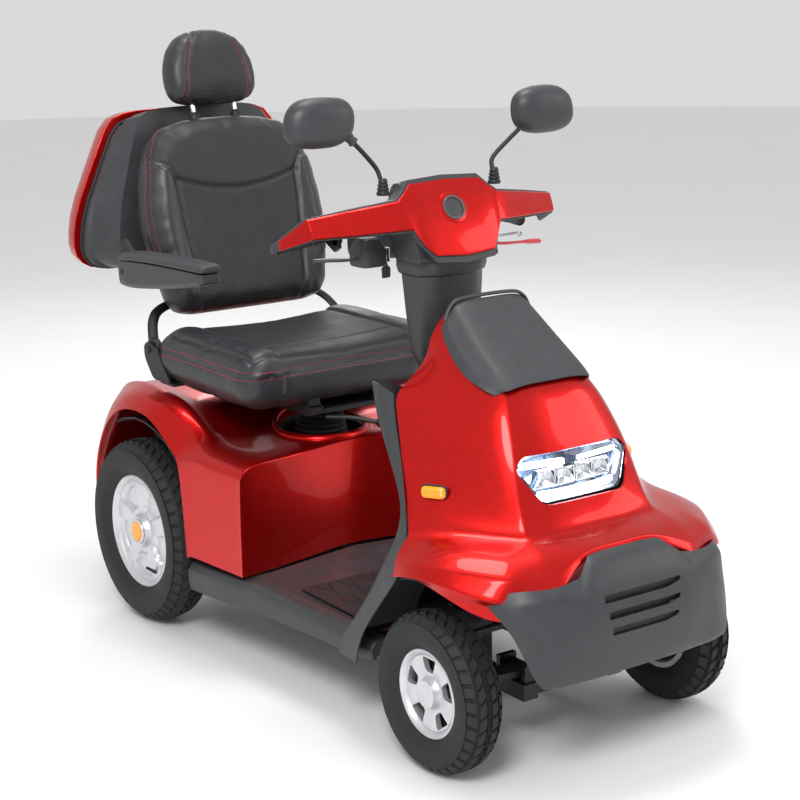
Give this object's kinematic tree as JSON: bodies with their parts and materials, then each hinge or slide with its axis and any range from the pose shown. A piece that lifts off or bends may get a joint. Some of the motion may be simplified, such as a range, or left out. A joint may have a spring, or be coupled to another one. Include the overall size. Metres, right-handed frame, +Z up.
{
  "type": "mobility scooter",
  "caption": "Wheeled mobility scooter with a red cowl and seat base, tilting tiller, swivel seat with armrests and headrest, and a lidded box behind the backrest.",
  "frame": {"origin": "on the ground, under the middle of the whole scooter's box", "axes": "+Z up, -Y forwards, -X to the rider's right"},
  "size_m": [0.706, 1.685, 1.2898],
  "materials": {
    "red_bodywork": "glossy metallic red",
    "dark_plastic": "grained satin charcoal",
    "black_plastic": "plain black",
    "black_metal": "black powder coat",
    "frame_steel": "dark grey powder coat",
    "tyre": "black rubber",
    "rim": "silver paint",
    "chrome": "bright",
    "rubber": "black, ribbed",
    "vinyl": "charcoal synthetic leather, partly perforated, red stitching",
    "clear_lens": "clear",
    "amber_lens": "amber",
    "red_lens": "red"
  },
  "bodies": {
    "chassis": {"chassis_frame": "frame_steel", "rear_body": "red_bodywork", "rear_arch_liner_right": "black_plastic", "rear_arch_liner_left": "black_plastic", "floor_tray": "dark_plastic", "floor_mat": "rubber", "front_cowl": "red_bodywork", "headlight_housing": "chrome", "headlight_lens": "clear_lens", "leg_shield": "dark_plastic", "front_bumper": "dark_plastic", "cowl_lid": "dark_plastic", "side_signal_right": "amber_lens", "side_signal_left": "amber_lens", "tail_lamp": "red_lens", "battery_right": "black_plastic", "battery_left": "black_plastic", "rear_spring_right": "black_metal", "rear_spring_left": "black_metal", "post_bellows": "rubber"},
    "rear_axle": {"transaxle": "frame_steel"},
    "rear_wheel_right": {"rear_tyre_right": "tyre", "rear_rim_right": "rim"},
    "rear_wheel_left": {"rear_tyre_left": "tyre", "rear_rim_left": "rim"},
    "front_arm_right": {"front_arm_right": "frame_steel"},
    "front_arm_left": {"front_arm_left": "frame_steel"},
    "knuckle_right": {"knuckle_right": "frame_steel"},
    "knuckle_left": {"knuckle_left": "frame_steel"},
    "front_wheel_right": {"front_tyre_right": "tyre", "front_rim_right": "rim"},
    "front_wheel_left": {"front_tyre_left": "tyre", "front_rim_left": "rim"},
    "tie_rod": {"tie_rod": "frame_steel"},
    "steering": {"steering_shaft": "frame_steel"},
    "tiller": {"tiller_column": "dark_plastic", "handlebar_shell": "dark_plastic", "handlebar_panel": "red_bodywork", "handlebar_tube": "rubber", "control_pod": "dark_plastic"},
    "key": {"ignition_key": "chrome"},
    "throttle": {"throttle_lever": "rim"},
    "brake": {"brake_lever": "rim"},
    "tilt_release": {"tilt_lever": "red_lens"},
    "mirror_stem_right": {"mirror_stem_right": "black_metal"},
    "mirror_stem_left": {"mirror_stem_left": "black_metal"},
    "mirror_head_right": {"mirror_head_right": "dark_plastic"},
    "mirror_head_left": {"mirror_head_left": "dark_plastic"},
    "post": {"seat_post": "chrome"},
    "swivel": {"seat_swivel": "frame_steel"},
    "seat_latch": {"seat_lever": "black_plastic"},
    "seat": {"seat_rails": "frame_steel", "seat_cushion": "vinyl"},
    "back": {"backrest": "vinyl", "back_frame": "frame_steel", "rear_box": "dark_plastic"},
    "headrest": {"headrest": "vinyl"},
    "armrest_right": {"armrest_right": "dark_plastic"},
    "armrest_left": {"armrest_left": "dark_plastic"},
    "box_lid": {"box_lid": "red_bodywork"}
  },
  "joints": [
    {"name": "rear_suspension", "type": "hinge", "parent": "chassis", "child": "rear_axle", "pos_m": [0, 0.2775, 0.165], "axis": [1, 0, 0], "range_deg": [0, 4], "stiffness_Nm_per_rad": 2000, "springref_deg": -2.86, "deforming": ["rear_spring_right", "rear_spring_left"]},
    {"name": "rear_wheel_right_spin", "type": "hinge", "parent": "rear_axle", "child": "rear_wheel_right", "pos_m": [-0.302, 0.4655, 0.208], "axis": [1, 0, 0], "continuous": true},
    {"name": "rear_wheel_left_spin", "type": "hinge", "parent": "rear_axle", "child": "rear_wheel_left", "pos_m": [0.302, 0.4655, 0.208], "axis": [1, 0, 0], "continuous": true},
    {"name": "front_suspension_right", "type": "hinge", "parent": "chassis", "child": "front_arm_right", "pos_m": [-0.085, -0.5945, 0.15], "axis": [0, 1, 0], "range_deg": [0, 5], "stiffness_Nm_per_rad": 1500, "springref_deg": -3.44},
    {"name": "knuckle_right_turn", "type": "hinge", "parent": "front_arm_right", "child": "knuckle_right", "pos_m": [-0.222, -0.5945, 0.15], "axis": [0, 0, 1], "range_deg": [-25, 25]},
    {"name": "front_wheel_right_spin", "type": "hinge", "parent": "knuckle_right", "child": "front_wheel_right", "pos_m": [-0.284, -0.5945, 0.153], "axis": [1, 0, 0], "continuous": true},
    {"name": "front_suspension_left", "type": "hinge", "parent": "chassis", "child": "front_arm_left", "pos_m": [0.085, -0.5945, 0.15], "axis": [0, -1, 0], "range_deg": [0, 5], "stiffness_Nm_per_rad": 1500, "springref_deg": -3.44},
    {"name": "knuckle_left_turn", "type": "hinge", "parent": "front_arm_left", "child": "knuckle_left", "pos_m": [0.222, -0.5945, 0.15], "axis": [0, 0, 1], "range_deg": [-25, 25]},
    {"name": "front_wheel_left_spin", "type": "hinge", "parent": "knuckle_left", "child": "front_wheel_left", "pos_m": [0.284, -0.5945, 0.153], "axis": [1, 0, 0], "continuous": true},
    {"name": "steering_turn", "type": "hinge", "parent": "chassis", "child": "steering", "pos_m": [0, -0.2975, 0.2], "axis": [0, 0.1129, 0.9936], "range_deg": [-25, 25]},
    {"name": "tie_rod_slide", "type": "slide", "parent": "chassis", "child": "tie_rod", "axis": [1, 0, 0], "range_m": [-0.026, 0.026]},
    {"name": "tiller_tilt", "type": "hinge", "parent": "steering", "child": "tiller", "pos_m": [0, -0.2475, 0.64], "axis": [-1, 0, 0], "range_deg": [-8, 30]},
    {"name": "key_turn", "type": "hinge", "parent": "tiller", "child": "key", "pos_m": [-0.086, -0.1695, 0.89], "axis": [0, 0, 1], "range_deg": [0, 60]},
    {"name": "throttle_pull", "type": "hinge", "parent": "tiller", "child": "throttle", "pos_m": [-0.164, -0.1775, 0.888], "axis": [0, 0, -1], "range_deg": [0, 15], "stiffness_Nm_per_rad": 1.2, "springref_deg": -11.46},
    {"name": "brake_pull", "type": "hinge", "parent": "tiller", "child": "brake", "pos_m": [0.128, -0.1795, 0.9], "axis": [0, 0, 1], "range_deg": [0, 12], "stiffness_Nm_per_rad": 2, "springref_deg": -11.46},
    {"name": "tilt_release_lift", "type": "hinge", "parent": "tiller", "child": "tilt_release", "pos_m": [0.112, -0.2295, 0.896], "axis": [0, -1, 0], "range_deg": [0, 8], "stiffness_Nm_per_rad": 1.5, "springref_deg": -17.19},
    {"name": "mirror_right_swivel", "type": "hinge", "parent": "tiller", "child": "mirror_stem_right", "pos_m": [-0.136, -0.2375, 1.0165], "axis": [0, 0, 1], "range_deg": [-30, 30]},
    {"name": "mirror_right_tilt", "type": "hinge", "parent": "mirror_stem_right", "child": "mirror_head_right", "pos_m": [-0.2035, -0.2385, 1.1235], "axis": [1, 0, 0], "range_deg": [-15, 15]},
    {"name": "mirror_left_swivel", "type": "hinge", "parent": "tiller", "child": "mirror_stem_left", "pos_m": [0.136, -0.2375, 1.0165], "axis": [0, 0, 1], "range_deg": [-30, 30]},
    {"name": "mirror_left_tilt", "type": "hinge", "parent": "mirror_stem_left", "child": "mirror_head_left", "pos_m": [0.2035, -0.2385, 1.1235], "axis": [1, 0, 0], "range_deg": [-15, 15]},
    {"name": "seat_lift", "type": "slide", "parent": "chassis", "child": "post", "axis": [0, 0, 1], "range_m": [0, 0.05], "deforming": ["post_bellows"]},
    {"name": "seat_swivel_turn", "type": "hinge", "parent": "post", "child": "swivel", "pos_m": [0, 0.2175, 0.506], "axis": [0, 0, 1], "range_deg": [-90, 90]},
    {"name": "seat_latch_turn", "type": "hinge", "parent": "swivel", "child": "seat_latch", "pos_m": [-0.06, 0.1025, 0.4995], "axis": [0, 0, 1], "range_deg": [0, 12], "stiffness_Nm_per_rad": 1, "springref_deg": -11.46},
    {"name": "seat_slide", "type": "slide", "parent": "swivel", "child": "seat", "axis": [0, 1, 0], "range_m": [-0.05, 0.05]},
    {"name": "back_recline", "type": "hinge", "parent": "seat", "child": "back", "pos_m": [0, 0.4975, 0.612], "axis": [-1, 0, 0], "range_deg": [-12, 18]},
    {"name": "headrest_slide", "type": "slide", "parent": "back", "child": "headrest", "axis": [0, 0.2588, 0.9659], "range_m": [0, 0.05]},
    {"name": "armrest_right_lift", "type": "hinge", "parent": "back", "child": "armrest_right", "pos_m": [-0.3045, 0.5375, 0.8], "axis": [-1, 0, 0], "range_deg": [0, 90]},
    {"name": "armrest_left_lift", "type": "hinge", "parent": "back", "child": "armrest_left", "pos_m": [0.3045, 0.5375, 0.8], "axis": [-1, 0, 0], "range_deg": [0, 90]},
    {"name": "box_lid_open", "type": "hinge", "parent": "back", "child": "box_lid", "pos_m": [0, 0.7475, 0.757], "axis": [-1, 0, 0], "range_deg": [0, 95]}
  ],
  "couplings": [
    {"joint": "knuckle_right_turn", "follows": "steering_turn", "ratio": 1},
    {"joint": "knuckle_left_turn", "follows": "steering_turn", "ratio": 1},
    {"joint": "tie_rod_slide", "follows": "steering_turn", "m_per_rad": -0.056}
  ]
}
